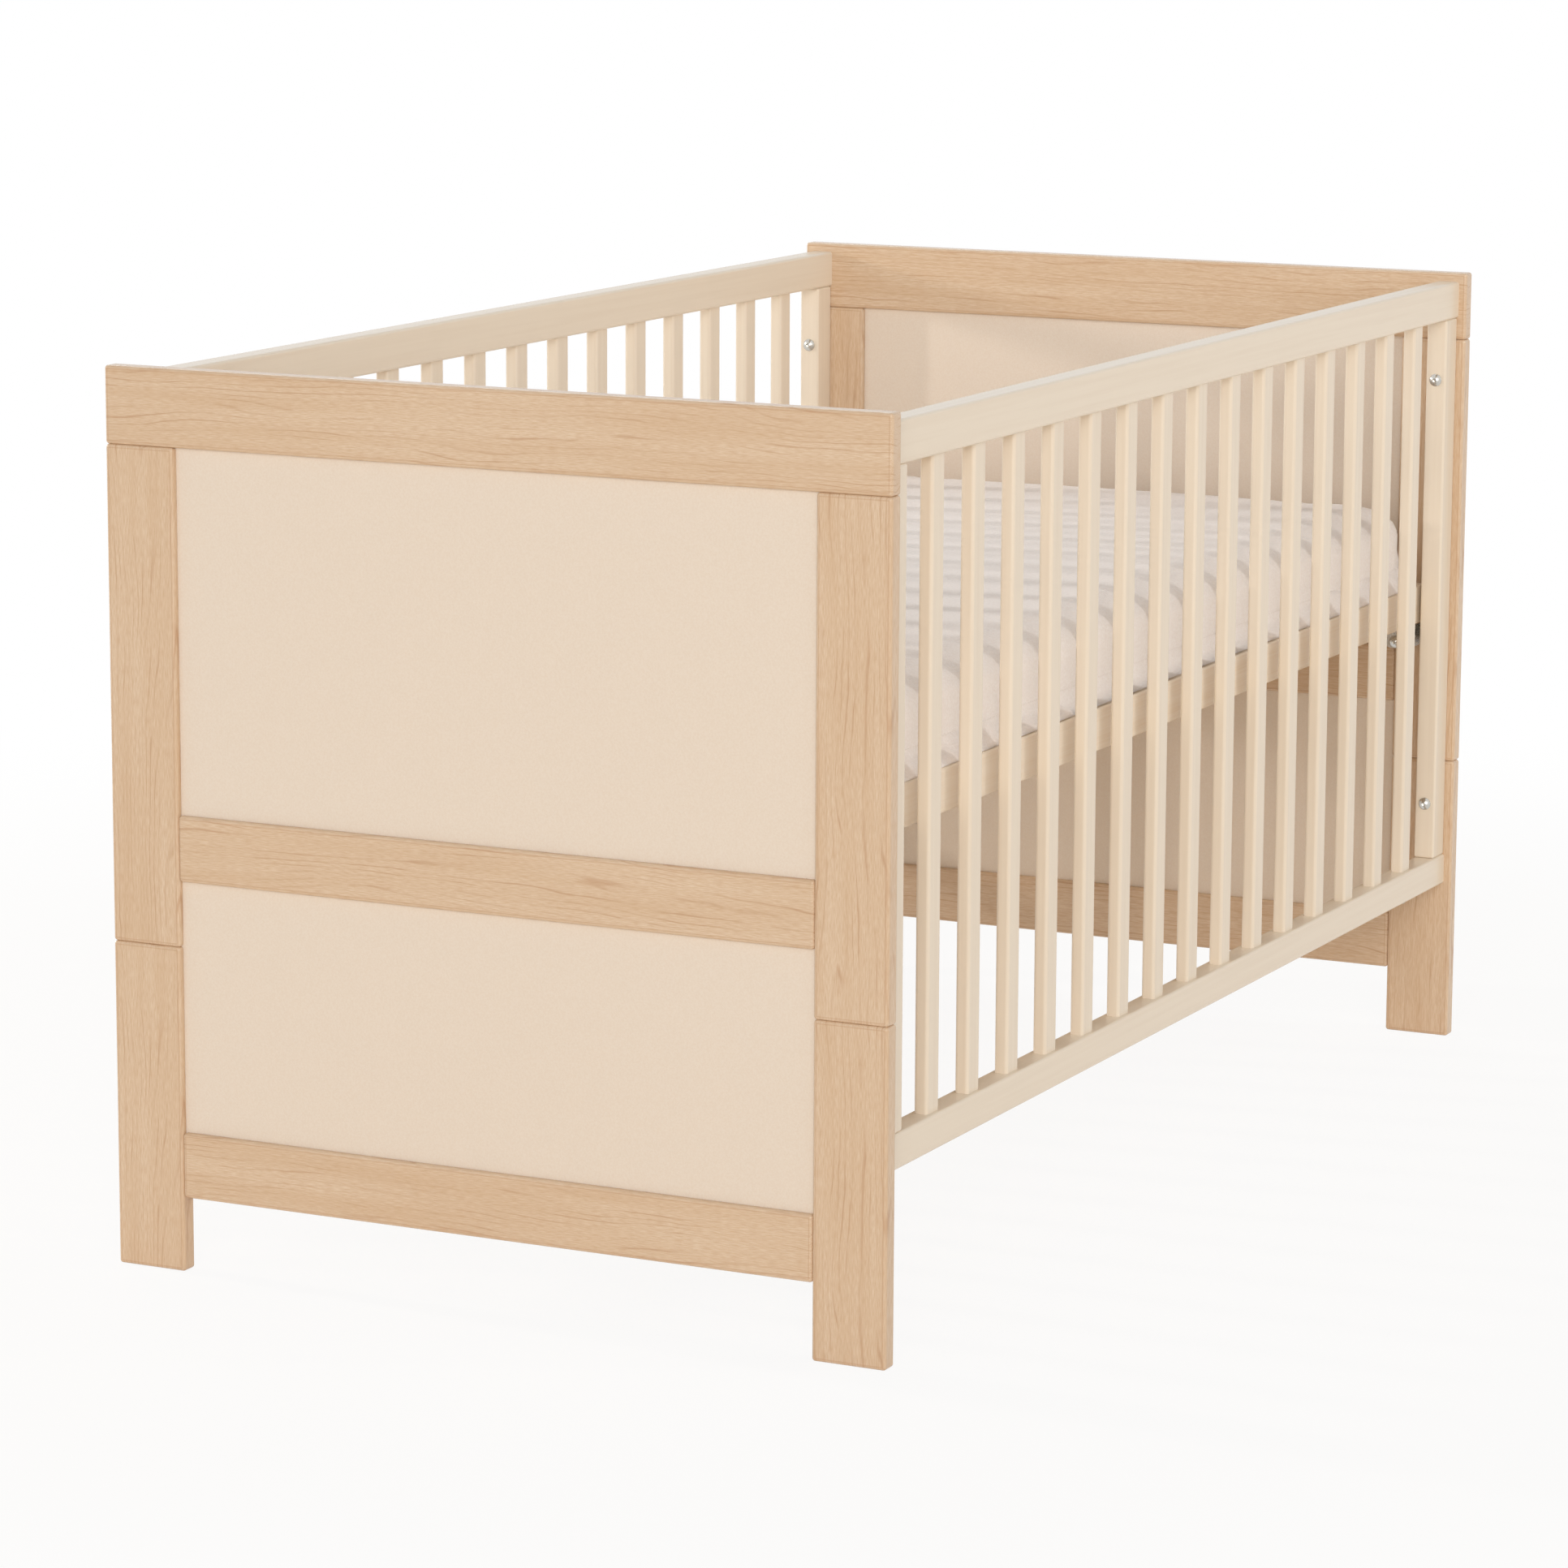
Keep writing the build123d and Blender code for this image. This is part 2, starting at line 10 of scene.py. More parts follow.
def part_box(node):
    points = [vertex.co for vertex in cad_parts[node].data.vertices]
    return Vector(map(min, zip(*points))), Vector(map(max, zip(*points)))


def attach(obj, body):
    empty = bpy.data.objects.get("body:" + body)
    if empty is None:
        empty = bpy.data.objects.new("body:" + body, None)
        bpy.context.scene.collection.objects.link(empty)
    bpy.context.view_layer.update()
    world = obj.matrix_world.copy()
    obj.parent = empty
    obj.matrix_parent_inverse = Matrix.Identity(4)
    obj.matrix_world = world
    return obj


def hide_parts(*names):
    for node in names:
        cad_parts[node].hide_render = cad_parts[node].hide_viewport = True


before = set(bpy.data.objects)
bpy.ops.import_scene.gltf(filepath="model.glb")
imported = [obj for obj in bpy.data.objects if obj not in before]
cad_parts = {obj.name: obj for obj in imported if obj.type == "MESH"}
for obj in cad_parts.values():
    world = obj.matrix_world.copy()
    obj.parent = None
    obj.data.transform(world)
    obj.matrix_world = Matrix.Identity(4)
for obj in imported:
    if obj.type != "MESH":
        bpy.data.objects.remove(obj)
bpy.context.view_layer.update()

bl_info = {
    "name": "Baby Crib",
    "version": (1, 0, 0),
    "blender": (4, 5, 0),
    "location": "View3D > Sidebar > Crib",
    "description": "Finishes, padded mattress and studio of a panelled baby crib",
    "category": "Object",
}

MM = 0.001
WHITE = (1.0, 1.0, 1.0, 1.0)

# Axes of a board as (along the grain, across its face, through it)
GRAIN_ALONG = {"X": "XZY", "Y": "YZX", "Z": "ZYX"}

ENDS = ("foot", "head")
SIDES = ("front", "rear")
END_RAILS = ("top_rail", "mid_rail", "bottom_rail")
END_POSTS = ("front_upper_post", "front_lower_post", "rear_upper_post", "rear_lower_post")

# Place and size of each soft box in metres; its power is one of the studio's settings
SOFT_BOXES = {
    "key": ((-10.5, -4.57, 3.4), (6.0, 5.0)),
    "front": ((0.75, -3.6, 1.75), (0.14, 0.8)),
    "window": ((-0.5, 4.0, 1.6), (0.1, 0.4)),
    "rear": ((4.5, 4.0, 6.0), (4.0, 3.0)),
    "top": ((0.0, 0.0, 3.4), (2.4, 1.6)),
}
LIGHT_AIM = Vector((0.0, 0.0, 0.55))


def linear(hex_colour):
    """Linear RGBA of an sRGB hex colour."""
    shares = [int(hex_colour[i:i + 2], 16) / 255 for i in (1, 3, 5)]
    return [s / 12.92 if s <= 0.04045 else ((s + 0.055) / 1.055) ** 2.4 for s in shares] + [1.0]


def colour_setting(name, description, hex_colour):
    """Colour property whose default is an sRGB hex value."""
    return FloatVectorProperty(name=name, description=description, subtype="COLOR", size=4,
                               min=0.0, max=1.0, default=linear(hex_colour))


def length_setting(name, description, millimetres):
    """Length property whose default is given in millimetres."""
    return FloatProperty(name=name, description=description, unit="LENGTH",
                         default=millimetres * MM)


def power_setting(name, description, watts):
    """Power property of a light."""
    return FloatProperty(name=name, description=description, unit="POWER", default=watts)


def angle_setting(name, description, degrees):
    """Angle property whose default is given in degrees."""
    return FloatProperty(name=name, description=description, subtype="ANGLE",
                         default=math.radians(degrees))


class CribFinishes(bpy.types.PropertyGroup):
    """Colours of the crib's materials."""

    foil_pale: colour_setting("Foil, pale wood", "Wide pale bands of the oak foil", "#E2CAAE")
    foil_mid: colour_setting("Foil, late wood", "Darker growth bands of the oak foil", "#D6B897")
    foil_line: colour_setting("Foil, fibres", "Fine fibres along the grain", "#C8A27D")
    # This colour draws the foil's growth lines, and also the dark line along each edge that is
    # painted shade of the rounded edges and joints.
    foil_pore: colour_setting("Foil, growth line", "Thin growth lines and edge creases", "#BC906C")
    board: colour_setting("Panel", "Cream melamine of the end panels", "#E7D8C7")
    board_fleck: colour_setting("Panel fleck", "Darker flecks of the melamine", "#E4D3C0")
    lacquer: colour_setting("Lacquer", "Cream lacquer of the barred sides", "#ECDDC8")
    lacquer_grain: colour_setting("Lacquer over grain", "Lacquer where grain shows", "#E7D6C0")
    birch_pale: colour_setting("Birch, pale", "Pale wood of the mattress base", "#F8E9D5")
    birch_dark: colour_setting("Birch, growth line", "Growth lines of the base", "#EDD7BA")
    beech_pale: colour_setting("Beech, pale", "Pale wood of the dowels", "#D9B48C")
    beech_fleck: colour_setting("Beech fleck", "Short dark flecks of the dowels", "#B98B60")
    nickel: colour_setting("Nickel", "Plated steel of the hardware", "#C9C6BF")
    cover: colour_setting("Mattress cover", "Brushed cotton of the cover", "#FCF4EE")
    cover_shade: colour_setting("Cover, low nap", "Cotton where the nap lies down", "#F4E9E1")
    thread: colour_setting("Thread", "Sewing thread of the mattress cover", "#EDE4DC")


class CribMattress(bpy.types.PropertyGroup):
    """Sizes of the padded mattress and its sewing."""

    voxel: length_setting("Weave step", "Size of the simulated cloth's squares", 6.5)
    room: length_setting("Stuffing room", "How far the pad starts inside its finished size", 4)
    swell: length_setting("Most swell", "Furthest that stuffing may push the cover out", 9)
    pressure: FloatProperty(name="Stuffing pressure", default=4.0,
                            description="Pressure of the stuffing on the cover")
    frames: IntProperty(name="Settling steps", default=20,
                        description="Steps until the cover has settled")
    crease: length_setting("Crease depth", "Depth of the soft creases along the edges", 2.2)
    crease_reach: length_setting("Crease reach", "How far creases run in from the edges", 70)
    wave: length_setting("Wave depth", "Depth of the broad waves of the top", 1.5)
    seam_rise: length_setting("Seam height", "Height of the seam above the underside", 20)
    seam_sink: length_setting("Seam depth", "How far the seam draws the cover in", 1.6)
    seam_width: length_setting("Seam width", "How far from the seam the cover is drawn in", 5)
    spread: length_setting("Lower spread", "How far the loaded lower edge spreads", 3.6)
    lip_reach: length_setting("Lip reach", "How far in the cover is pressed to the lower edge", 16)
    lip_height: length_setting("Lip height", "Height of the pressed-out lower edge", 30)
    corner: length_setting("Corner radius", "Radius of the pad's corners from above", 45)
    stitch_pitch: length_setting("Stitch spacing", "Distance from stitch to stitch", 5)
    stitch_length: length_setting("Stitch length", "Visible length of a stitch", 3.6)
    stitch_radius: length_setting("Thread radius", "Radius of the sewing thread", 0.45)


class CribHardware(bpy.types.PropertyGroup):
    """Sizes of the lock bolts' threads."""

    bolt_radius: length_setting("Bolt radius", "Radius of a lock bolt's shank", 3)
    thread_pitch: length_setting("Thread pitch", "Rise of a bolt's thread in one turn", 1)
    thread_ridge: length_setting("Thread ridge", "Radius of the thread's ridge", 0.28)


class CribStudio(bpy.types.PropertyGroup):
    """Studio light, floor and camera."""

    floor: colour_setting("Floor", "Pale studio floor", "#F5EBDE")
    walls: FloatProperty(name="Wall light", default=0.62,
                         description="Light from the white room's walls")
    ceiling: FloatProperty(name="Ceiling light", default=0.27,
                           description="Light from the white room's ceiling")
    key_power: power_setting("Key light", "Large soft box behind the camera", 590)
    front_power: power_setting("Front light", "Narrow box shining through the front bars", 19)
    window_power: power_setting("Window light", "Narrow box shining through the rear bars", 55)
    rear_power: power_setting("Rear light", "Soft box beyond the far corner", 100)
    top_power: power_setting("Top light", "Soft box above the crib", 3)
    place: FloatVectorProperty(name="Camera place", description="Where the camera stands", size=3,
                               subtype="TRANSLATION", default=(-4.903, -2.333, 1.362))
    yaw: angle_setting("Camera heading", "Heading from +X towards +Y", 26.07)
    dip: angle_setting("Camera dip", "Angle below the horizon", 10.48)
    roll: angle_setting("Camera roll", "Turn about the line of sight", 0.27)
    lens: FloatProperty(name="Lens", description="Focal length on a 36 mm square", unit="CAMERA",
                        default=129.0)


def add_node(tree, kind, inputs=None, **settings):
    """Add a node with its settings. Each input, named by its identifier, takes a value, or a link
    from a socket or from a node's first output."""
    made = tree.nodes.new(kind)
    for name, value in settings.items():
        setattr(made, name, value)
    sockets = {socket.identifier: socket for socket in made.inputs}
    for name, value in (inputs or {}).items():
        if isinstance(value, bpy.types.Node):
            value = next(socket for socket in value.outputs if socket.enabled)
        if isinstance(value, bpy.types.NodeSocket):
            tree.links.new(value, sockets[name])
        else:
            sockets[name].default_value = value
    return made


def new_material(name):
    """New material and its emptied node tree."""
    material = bpy.data.materials.new(name)
    material.use_nodes = True
    material.node_tree.nodes.clear()
    return material, material.node_tree


def board_coordinates(tree, grain, start):
    """Object coordinates with the grain along X, moved so that no two boards share a print."""
    place = add_node(tree, "ShaderNodeTexCoord").outputs["Object"]
    parts = add_node(tree, "ShaderNodeSeparateXYZ", {"Vector": place}).outputs
    turned = add_node(tree, "ShaderNodeCombineXYZ", {
        to: parts[axis] for to, axis in zip("XYZ", GRAIN_ALONG[grain])})
    return add_node(tree, "ShaderNodeMapping", {"Vector": turned, "Location": start})


def streaks(tree, vector, length, width, detail):
    """Noise drawn out along the grain, as long and as wide as given in metres."""
    scaled = add_node(tree, "ShaderNodeVectorMath", {
        "Vector": vector, "Vector_001": (1 / length, 1 / width, 1 / width)}, operation="MULTIPLY")
    return add_node(tree, "ShaderNodeTexNoise", {"Vector": scaled, "Scale": 1.0, "Detail": detail})


def foil_face(node, grain, start):
    """Lowest and highest corner of a board's face in its grain coordinates."""
    axes = ["XYZ".index(axis) for axis in GRAIN_ALONG[grain][:2]]
    return [[corner[axis] + step for axis, step in zip(axes, start)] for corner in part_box(node)]


def edge_distance(tree, vector, low, high):
    """Distance to the nearest edge of a board's face, along the grain or across it."""
    parts = add_node(tree, "ShaderNodeSeparateXYZ", {"Vector": vector}).outputs
    gaps = []
    for axis, start, end in zip("XY", low, high):
        aside = add_node(tree, "ShaderNodeMath", {
            "Value": parts[axis], "Value_001": (start + end) / 2}, operation="SUBTRACT")
        away = add_node(tree, "ShaderNodeMath", {"Value": aside}, operation="ABSOLUTE")
        gaps.append(add_node(tree, "ShaderNodeMath", {
            "Value": (end - start) / 2, "Value_001": away}, operation="SUBTRACT"))
    return add_node(tree, "ShaderNodeMath", {"Value": gaps[0], "Value_001": gaps[1]},
                    operation="MINIMUM")


def growth_rings(tree, vector):
    """Distance to the nearest growth line, in rings: lines along the grain that sweep and waver."""
    ring_width = 7 * MM
    sweep_rings = 9.0
    waver_rings = 2.2
    across = add_node(tree, "ShaderNodeSeparateXYZ", {"Vector": vector}).outputs["Y"]
    sweep = add_node(tree, "ShaderNodeMapRange", {
        "Value": streaks(tree, vector, length=380 * MM, width=60 * MM, detail=1.0),
        "To Max": sweep_rings})
    waver = add_node(tree, "ShaderNodeMapRange", {
        "Value": streaks(tree, vector, length=120 * MM, width=20 * MM, detail=2.0),
        "To Max": waver_rings})
    swept = add_node(tree, "ShaderNodeMath", {
        "Value": across, "Value_001": 1 / ring_width, "Value_002": sweep},
        operation="MULTIPLY_ADD")
    phase = add_node(tree, "ShaderNodeMath", {"Value": swept, "Value_001": waver}, operation="ADD")
    return add_node(tree, "ShaderNodeMath", {"Value": phase, "Value_001": 0.5},
                    operation="PINGPONG")


def fold_line_and_edge_shade(tree, vector, face):
    """Share of the dark line painted along each edge: the foil's fold, darkened to paint the shade
    of the rounded edge and the joint groove.
    """
    painted_shade_inset = 3 * MM
    edge = edge_distance(tree, vector, *face)
    aside = add_node(tree, "ShaderNodeMath", {"Value": edge, "Value_001": painted_shade_inset},
                     operation="SUBTRACT")
    away = add_node(tree, "ShaderNodeMath", {"Value": aside}, operation="ABSOLUTE")
    return add_node(tree, "ShaderNodeMapRange", {
        "Value": away, "From Min": 0.8 * MM, "From Max": 0.2 * MM, "To Max": 0.4})


def oak_foil(finishes, node, grain, start):
    """Printed oak decor foil on fibreboard."""
    # A printed paper foil under satin lacquer: long wavering growth lines that come and go over
    # pale and tan bands, fine fibres between them, and a thin dark line along each edge where the
    # foil is folded over, darkened to paint the shade of the rounded edges and joints. Lines and
    # fibres are drawn about 1 mm wide so that they show.
    material, tree = new_material(f"oak_foil_{node}")
    vector = board_coordinates(tree, grain, start)
    ring = growth_rings(tree, vector)
    late = add_node(tree, "ShaderNodeMapRange", {
        "Value": ring, "From Min": 0.5, "From Max": 0.0})
    line = add_node(tree, "ShaderNodeMapRange", {
        "Value": ring, "From Min": 0.13, "From Max": 0.02})
    showing = add_node(tree, "ShaderNodeMapRange", {
        "Value": streaks(tree, vector, length=90 * MM, width=16 * MM, detail=2.0),
        "From Min": 0.44, "From Max": 0.64, "To Max": 0.6})
    growth = add_node(tree, "ShaderNodeMath", {"Value": line, "Value_001": showing},
                      operation="MULTIPLY")
    bands = add_node(tree, "ShaderNodeMapRange", {
        "Value": streaks(tree, vector, length=300 * MM, width=18 * MM, detail=2.0),
        "From Min": 0.3, "From Max": 0.7, "To Max": 0.75})
    tone = add_node(tree, "ShaderNodeMath", {
        "Value": late, "Value_001": 0.12, "Value_002": bands}, operation="MULTIPLY_ADD")
    fibres = add_node(tree, "ShaderNodeMapRange", {
        "Value": streaks(tree, vector, length=9 * MM, width=0.8 * MM, detail=2.0),
        "From Min": 0.32, "From Max": 0.68, "To Max": 0.6})
    # Painted shade: a dark line along each edge, the foil's fold darkened to stand in for the shade
    # of the rounded edge and the joint groove.
    crease = fold_line_and_edge_shade(tree, vector, foil_face(node, grain, start))
    colour = finishes.foil_pale
    for share, print_colour in ((tone, finishes.foil_mid), (fibres, finishes.foil_line),
                                (growth, finishes.foil_pore), (crease, finishes.foil_pore)):
        colour = add_node(tree, "ShaderNodeMix", {
            "Factor_Float": share, "A_Color": colour, "B_Color": print_colour}, data_type="RGBA")
    rough = add_node(tree, "ShaderNodeMapRange", {"Value": fibres, "To Min": 0.22, "To Max": 0.3})
    raised = add_node(tree, "ShaderNodeMath", {"Value": 1.0, "Value_001": fibres},
                      operation="SUBTRACT")
    bump = add_node(tree, "ShaderNodeBump", {
        "Height": raised, "Distance": 0.08 * MM, "Strength": 0.4})
    shader = add_node(tree, "ShaderNodeBsdfPrincipled", {
        "Base Color": colour, "Roughness": rough, "Normal": bump})
    add_node(tree, "ShaderNodeOutputMaterial", {"Surface": shader})
    return material


def cream_melamine(finishes):
    """Melamine-faced hardboard of the end panels."""
    # Pressed paper in resin: an even cream with faint flecks and a fine pearl texture, half matt.
    # The flecks are drawn 1.8 mm wide so that they show.
    material, tree = new_material("cream_melamine_board")
    place = add_node(tree, "ShaderNodeTexCoord").outputs["Object"]
    fleck = streaks(tree, place, length=1.8 * MM, width=1.8 * MM, detail=1.0)
    share = add_node(tree, "ShaderNodeMapRange", {
        "Value": fleck, "From Min": 0.3, "From Max": 0.7})
    colour = add_node(tree, "ShaderNodeMix", {
        "Factor_Float": share, "A_Color": finishes.board, "B_Color": finishes.board_fleck},
        data_type="RGBA")
    bump = add_node(tree, "ShaderNodeBump", {
        "Height": fleck, "Distance": 0.05 * MM, "Strength": 0.5})
    shader = add_node(tree, "ShaderNodeBsdfPrincipled", {
        "Base Color": colour, "Roughness": 0.42, "Normal": bump})
    add_node(tree, "ShaderNodeOutputMaterial", {"Surface": shader})
    return material


def cream_lacquer(finishes, name, grain):
    """Sprayed cream lacquer on solid wood."""
    # Covering lacquer rubbed between coats: nearly even, the grain only a faint lengthwise shadow,
    # a soft gloss that lights up on rounded edges, and a slight orange peel.
    material, tree = new_material(name)
    vector = board_coordinates(tree, grain, (0.0, 0.0, 0.0))
    share = add_node(tree, "ShaderNodeMapRange", {
        "Value": streaks(tree, vector, length=220 * MM, width=5 * MM, detail=3.0),
        "From Min": 0.4, "From Max": 0.72, "To Max": 0.6})
    colour = add_node(tree, "ShaderNodeMix", {
        "Factor_Float": share, "A_Color": finishes.lacquer, "B_Color": finishes.lacquer_grain},
        data_type="RGBA")
    peel = streaks(tree, vector, length=3 * MM, width=2.2 * MM, detail=1.0)
    bump = add_node(tree, "ShaderNodeBump", {
        "Height": peel, "Distance": 0.05 * MM, "Strength": 0.45})
    shader = add_node(tree, "ShaderNodeBsdfPrincipled", {
        "Base Color": colour, "Roughness": 0.27, "Normal": bump})
    add_node(tree, "ShaderNodeOutputMaterial", {"Surface": shader})
    return material


def clear_birch(finishes, name, grain, start):
    """Planed birch under a thin clear lacquer."""
    # Planed solid wood: pale with fine silky growth lines and a few darker bands, satin.
    material, tree = new_material(name)
    vector = board_coordinates(tree, grain, start)
    bands = streaks(tree, vector, length=500 * MM, width=16 * MM, detail=2.0)
    lines = streaks(tree, vector, length=160 * MM, width=2 * MM, detail=2.0)
    both = add_node(tree, "ShaderNodeMath", {"Value": bands, "Value_001": lines},
                    operation="MULTIPLY")
    share = add_node(tree, "ShaderNodeMapRange", {
        "Value": both, "From Min": 0.14, "From Max": 0.46, "To Max": 0.7})
    colour = add_node(tree, "ShaderNodeMix", {
        "Factor_Float": share, "A_Color": finishes.birch_pale, "B_Color": finishes.birch_dark},
        data_type="RGBA")
    bump = add_node(tree, "ShaderNodeBump", {
        "Height": lines, "Distance": 0.08 * MM, "Strength": 0.4})
    shader = add_node(tree, "ShaderNodeBsdfPrincipled", {
        "Base Color": colour, "Roughness": 0.48, "Normal": bump})
    add_node(tree, "ShaderNodeOutputMaterial", {"Surface": shader})
    return material


def turned_beech(finishes):
    """Turned beech of the dowels, made once."""
    # Turned hardwood, unfinished and matt, with the short dark flecks of beech.
    ready = bpy.data.materials.get("turned_beech")
    if ready:
        return ready
    material, tree = new_material("turned_beech")
    place = add_node(tree, "ShaderNodeTexCoord").outputs["Object"]
    share = add_node(tree, "ShaderNodeMapRange", {
        "Value": streaks(tree, place, length=1.2 * MM, width=1.2 * MM, detail=2.0),
        "From Min": 0.5, "From Max": 0.7, "To Max": 0.6})
    colour = add_node(tree, "ShaderNodeMix", {
        "Factor_Float": share, "A_Color": finishes.beech_pale, "B_Color": finishes.beech_fleck},
        data_type="RGBA")
    shader = add_node(tree, "ShaderNodeBsdfPrincipled", {"Base Color": colour, "Roughness": 0.7})
    add_node(tree, "ShaderNodeOutputMaterial", {"Surface": shader})
    return material


def nickel_plate(finishes):
    """Nickel-plated steel of bolts, screws, inserts and brackets."""
    # Barrel-plated steel: bright, warm grey, with a slightly uneven polish from tumbling.
    material, tree = new_material("nickel_plated_steel")
    place = add_node(tree, "ShaderNodeTexCoord").outputs["Object"]
    rough = add_node(tree, "ShaderNodeMapRange", {
        "Value": streaks(tree, place, length=2.5 * MM, width=1.2 * MM, detail=3.0),
        "To Min": 0.16, "To Max": 0.36})
    shader = add_node(tree, "ShaderNodeBsdfPrincipled", {
        "Base Color": finishes.nickel, "Metallic": 1.0, "Roughness": rough})
    add_node(tree, "ShaderNodeOutputMaterial", {"Surface": shader})
    return material


def brushed_cotton(finishes):
    """Brushed cotton of the mattress cover."""
    # Napped cotton jersey: matt and white with a short fuzzy pile that catches light along the
    # edges. The nap is drawn in 2.2 mm tufts so that it shows.
    material, tree = new_material("brushed_cotton")
    place = add_node(tree, "ShaderNodeTexCoord").outputs["Object"]
    nap = streaks(tree, place, length=2.6 * MM, width=2.2 * MM, detail=3.0)
    share = add_node(tree, "ShaderNodeMapRange", {"Value": nap, "From Min": 0.3, "From Max": 0.7})
    colour = add_node(tree, "ShaderNodeMix", {
        "Factor_Float": share, "A_Color": finishes.cover, "B_Color": finishes.cover_shade},
        data_type="RGBA")
    bump = add_node(tree, "ShaderNodeBump", {
        "Height": nap, "Distance": 0.8 * MM, "Strength": 0.55})
    shader = add_node(tree, "ShaderNodeBsdfPrincipled", {
        "Base Color": colour, "Roughness": 0.9, "Sheen Weight": 0.25, "Sheen Roughness": 0.6,
        "Normal": bump})
    add_node(tree, "ShaderNodeOutputMaterial", {"Surface": shader})
    return material


def spun_thread(finishes):
    """Spun polyester sewing thread."""
    # Two-ply thread: soft white with a faint silky twist.
    material, tree = new_material("spun_thread")
    place = add_node(tree, "ShaderNodeTexCoord").outputs["Object"]
    twist = streaks(tree, place, length=0.6 * MM, width=0.4 * MM, detail=1.0)
    colour = add_node(tree, "ShaderNodeMix", {
        "Factor_Float": twist, "A_Color": finishes.thread, "B_Color": finishes.cover_shade},
        data_type="RGBA")
    shader = add_node(tree, "ShaderNodeBsdfPrincipled", {"Base Color": colour, "Roughness": 0.6})
    add_node(tree, "ShaderNodeOutputMaterial", {"Surface": shader})
    return material


def finish_node(name, material):
    """Give a carried-over piece its material."""
    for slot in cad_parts[name].material_slots:
        slot.material = material


def finish_piece(piece, body):
    """Attach a new piece to its body."""
    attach(piece, body)


def new_piece(name, mesh):
    """New object with a mesh, in the scene."""
    piece = bpy.data.objects.new(name, mesh)
    bpy.context.scene.collection.objects.link(piece)
    return piece


def plain_copy(piece, name):
    """New object with the piece's evaluated mesh; the piece itself is removed."""
    evaluated = piece.evaluated_get(bpy.context.evaluated_depsgraph_get())
    made = new_piece(name, bpy.data.meshes.new_from_object(evaluated))
    bpy.data.objects.remove(piece)
    return made


class CRIB_OT_end_boards(bpy.types.Operator):
    """Wrap the end frames in oak foil and face their panels in cream melamine"""

    bl_idname = "crib.end_boards"
    bl_label = "End boards"

    def execute(self, context):
        finishes = context.scene.crib_finishes
        board = cream_melamine(finishes)
        beech = turned_beech(finishes)
        # How far the print is shifted from board to board, in metres
        print_step = 0.43
        for number, end in enumerate(ENDS):
            for place, member in enumerate(END_RAILS + END_POSTS):
                node = f"{end}_{member}"
                grain = "Y" if member in END_RAILS else "Z"
                start = (print_step * (place + 1), print_step * number, 0.0)
                finish_node(node, oak_foil(finishes, node, grain, start))
            finish_node(f"{end}_upper_panel", board)
            finish_node(f"{end}_lower_panel", board)
            finish_node(f"{end}_dowels", beech)
        return {"FINISHED"}


class CRIB_OT_barred_sides(bpy.types.Operator):
    """Lacquer the rails, stiles and bars of both sides"""

    bl_idname = "crib.barred_sides"
    bl_label = "Barred sides"

    def execute(self, context):
        finishes = context.scene.crib_finishes
        lengthwise = cream_lacquer(finishes, "cream_lacquer_rails", "X")
        upright = cream_lacquer(finishes, "cream_lacquer_bars", "Z")
        for side in SIDES:
            for rail in ("top_rail", "bottom_rail"):
                finish_node(f"{side}_{rail}", lengthwise)
            for member in ("foot_stile", "head_stile", "bars"):
                finish_node(f"{side}_{member}", upright)
        finish_node("side_dowels", turned_beech(finishes))
        return {"FINISHED"}


class CRIB_OT_mattress_base(bpy.types.Operator):
    """Finish the slatted base in clear birch"""

    bl_idname = "crib.mattress_base"
    bl_label = "Mattress base"

    def execute(self, context):
        finishes = context.scene.crib_finishes
        lengthwise = clear_birch(finishes, "clear_birch_rails", "X", (0.2, 0.0, 0.0))
        crosswise = clear_birch(finishes, "clear_birch_slats", "Y", (0.7, 0.0, 0.0))
        for node in ("base_front_rail", "base_rear_rail"):
            finish_node(node, lengthwise)
        for node in ("base_foot_rail", "base_head_rail", "base_slats"):
            finish_node(node, crosswise)
        finish_node("base_dowels", turned_beech(finishes))
        return {"FINISHED"}


def new_tree(name, inputs, output):
    """Empty geometry node tree with its named inputs and its output."""
    tree = bpy.data.node_groups.new(name, "GeometryNodeTree")
    for label in inputs:
        kind = "NodeSocketGeometry" if label == "Places" else "NodeSocketFloat"
        tree.interface.new_socket(label, in_out="INPUT", socket_type=kind)
    tree.interface.new_socket(output, in_out="OUTPUT", socket_type="NodeSocketGeometry")
    return tree


def thread_tree(material):
    """Node tree that winds a thread ridge round each point's axis."""
    tree = new_tree("bolt_thread", ("Places", "Turns", "Radius", "Length", "Ridge"), "Thread")
    given = add_node(tree, "NodeGroupInput").outputs
    spiral = add_node(tree, "GeometryNodeCurveSpiral", {
        "Resolution": 14, "Rotations": given["Turns"], "Start Radius": given["Radius"],
        "End Radius": given["Radius"], "Height": given["Length"]})
    ridge = add_node(tree, "GeometryNodeCurvePrimitiveCircle", {
        "Resolution": 4, "Radius": given["Ridge"]})
    wound = add_node(tree, "GeometryNodeCurveToMesh", {
        "Curve": spiral, "Profile Curve": ridge, "Fill Caps": True})
    axis = add_node(tree, "GeometryNodeInputNamedAttribute", {"Name": "axis"},
                    data_type="FLOAT_VECTOR")
    turn = add_node(tree, "FunctionNodeAlignRotationToVector", {"Vector": axis}, axis="Z")
    copies = add_node(tree, "GeometryNodeInstanceOnPoints", {
        "Points": given["Places"], "Instance": wound, "Rotation": turn})
    real = add_node(tree, "GeometryNodeRealizeInstances", {"Geometry": copies})
    dressed = add_node(tree, "GeometryNodeSetMaterial", {"Geometry": real, "Material": material})
    add_node(tree, "NodeGroupOutput", {tree.interface.items_tree["Thread"].identifier: dressed})
    return tree


def run_tree(piece, tree, values, name):
    """Run a node tree on a piece with its named inputs; the result is a plain piece."""
    modifier = piece.modifiers.new(tree.name, "NODES")
    modifier.node_group = tree
    for key, value in values.items():
        modifier[tree.interface.items_tree[key].identifier] = value
    return plain_copy(piece, name)


